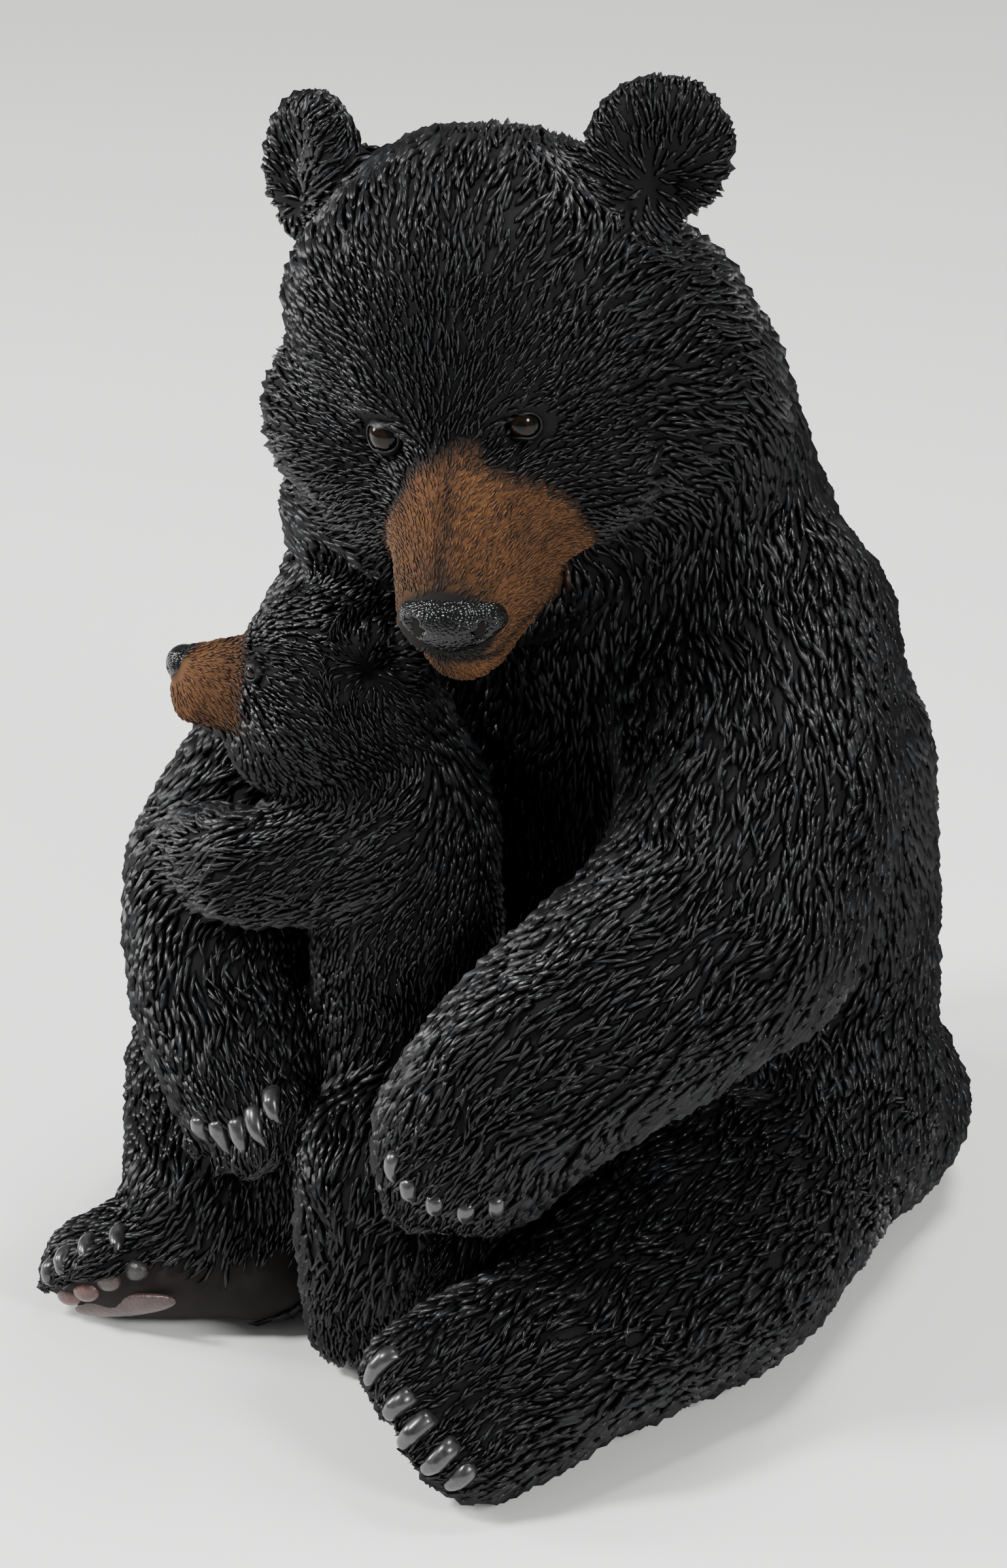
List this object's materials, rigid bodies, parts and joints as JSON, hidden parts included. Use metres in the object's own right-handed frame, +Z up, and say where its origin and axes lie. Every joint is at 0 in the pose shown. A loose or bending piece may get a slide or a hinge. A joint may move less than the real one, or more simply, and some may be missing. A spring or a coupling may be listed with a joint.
{
  "type": "mother bear and cub statue",
  "caption": "Seated black mother bear holding her cub between her legs, one painted resin cast with carved fur and inset glossy eyes, flat underside.",
  "frame": {"origin": "on the floor plane, in the middle of the statue's footprint box", "axes": "+Z up, the mother faces -Y, her left side is +X"},
  "size_m": [0.3072, 0.364, 0.4564],
  "materials": {
    "painted_resin": "satin black paint on a hollow resin cast, tan muzzles, grey claws",
    "eye_gloss": "clear gloss over a dark brown iris"
  },
  "bodies": {
    "root": {"mother_and_cub": "painted_resin", "mother_left_eye": "eye_gloss", "mother_right_eye": "eye_gloss", "cub_left_eye": "eye_gloss", "cub_right_eye": "eye_gloss"}
  },
  "joints": []
}
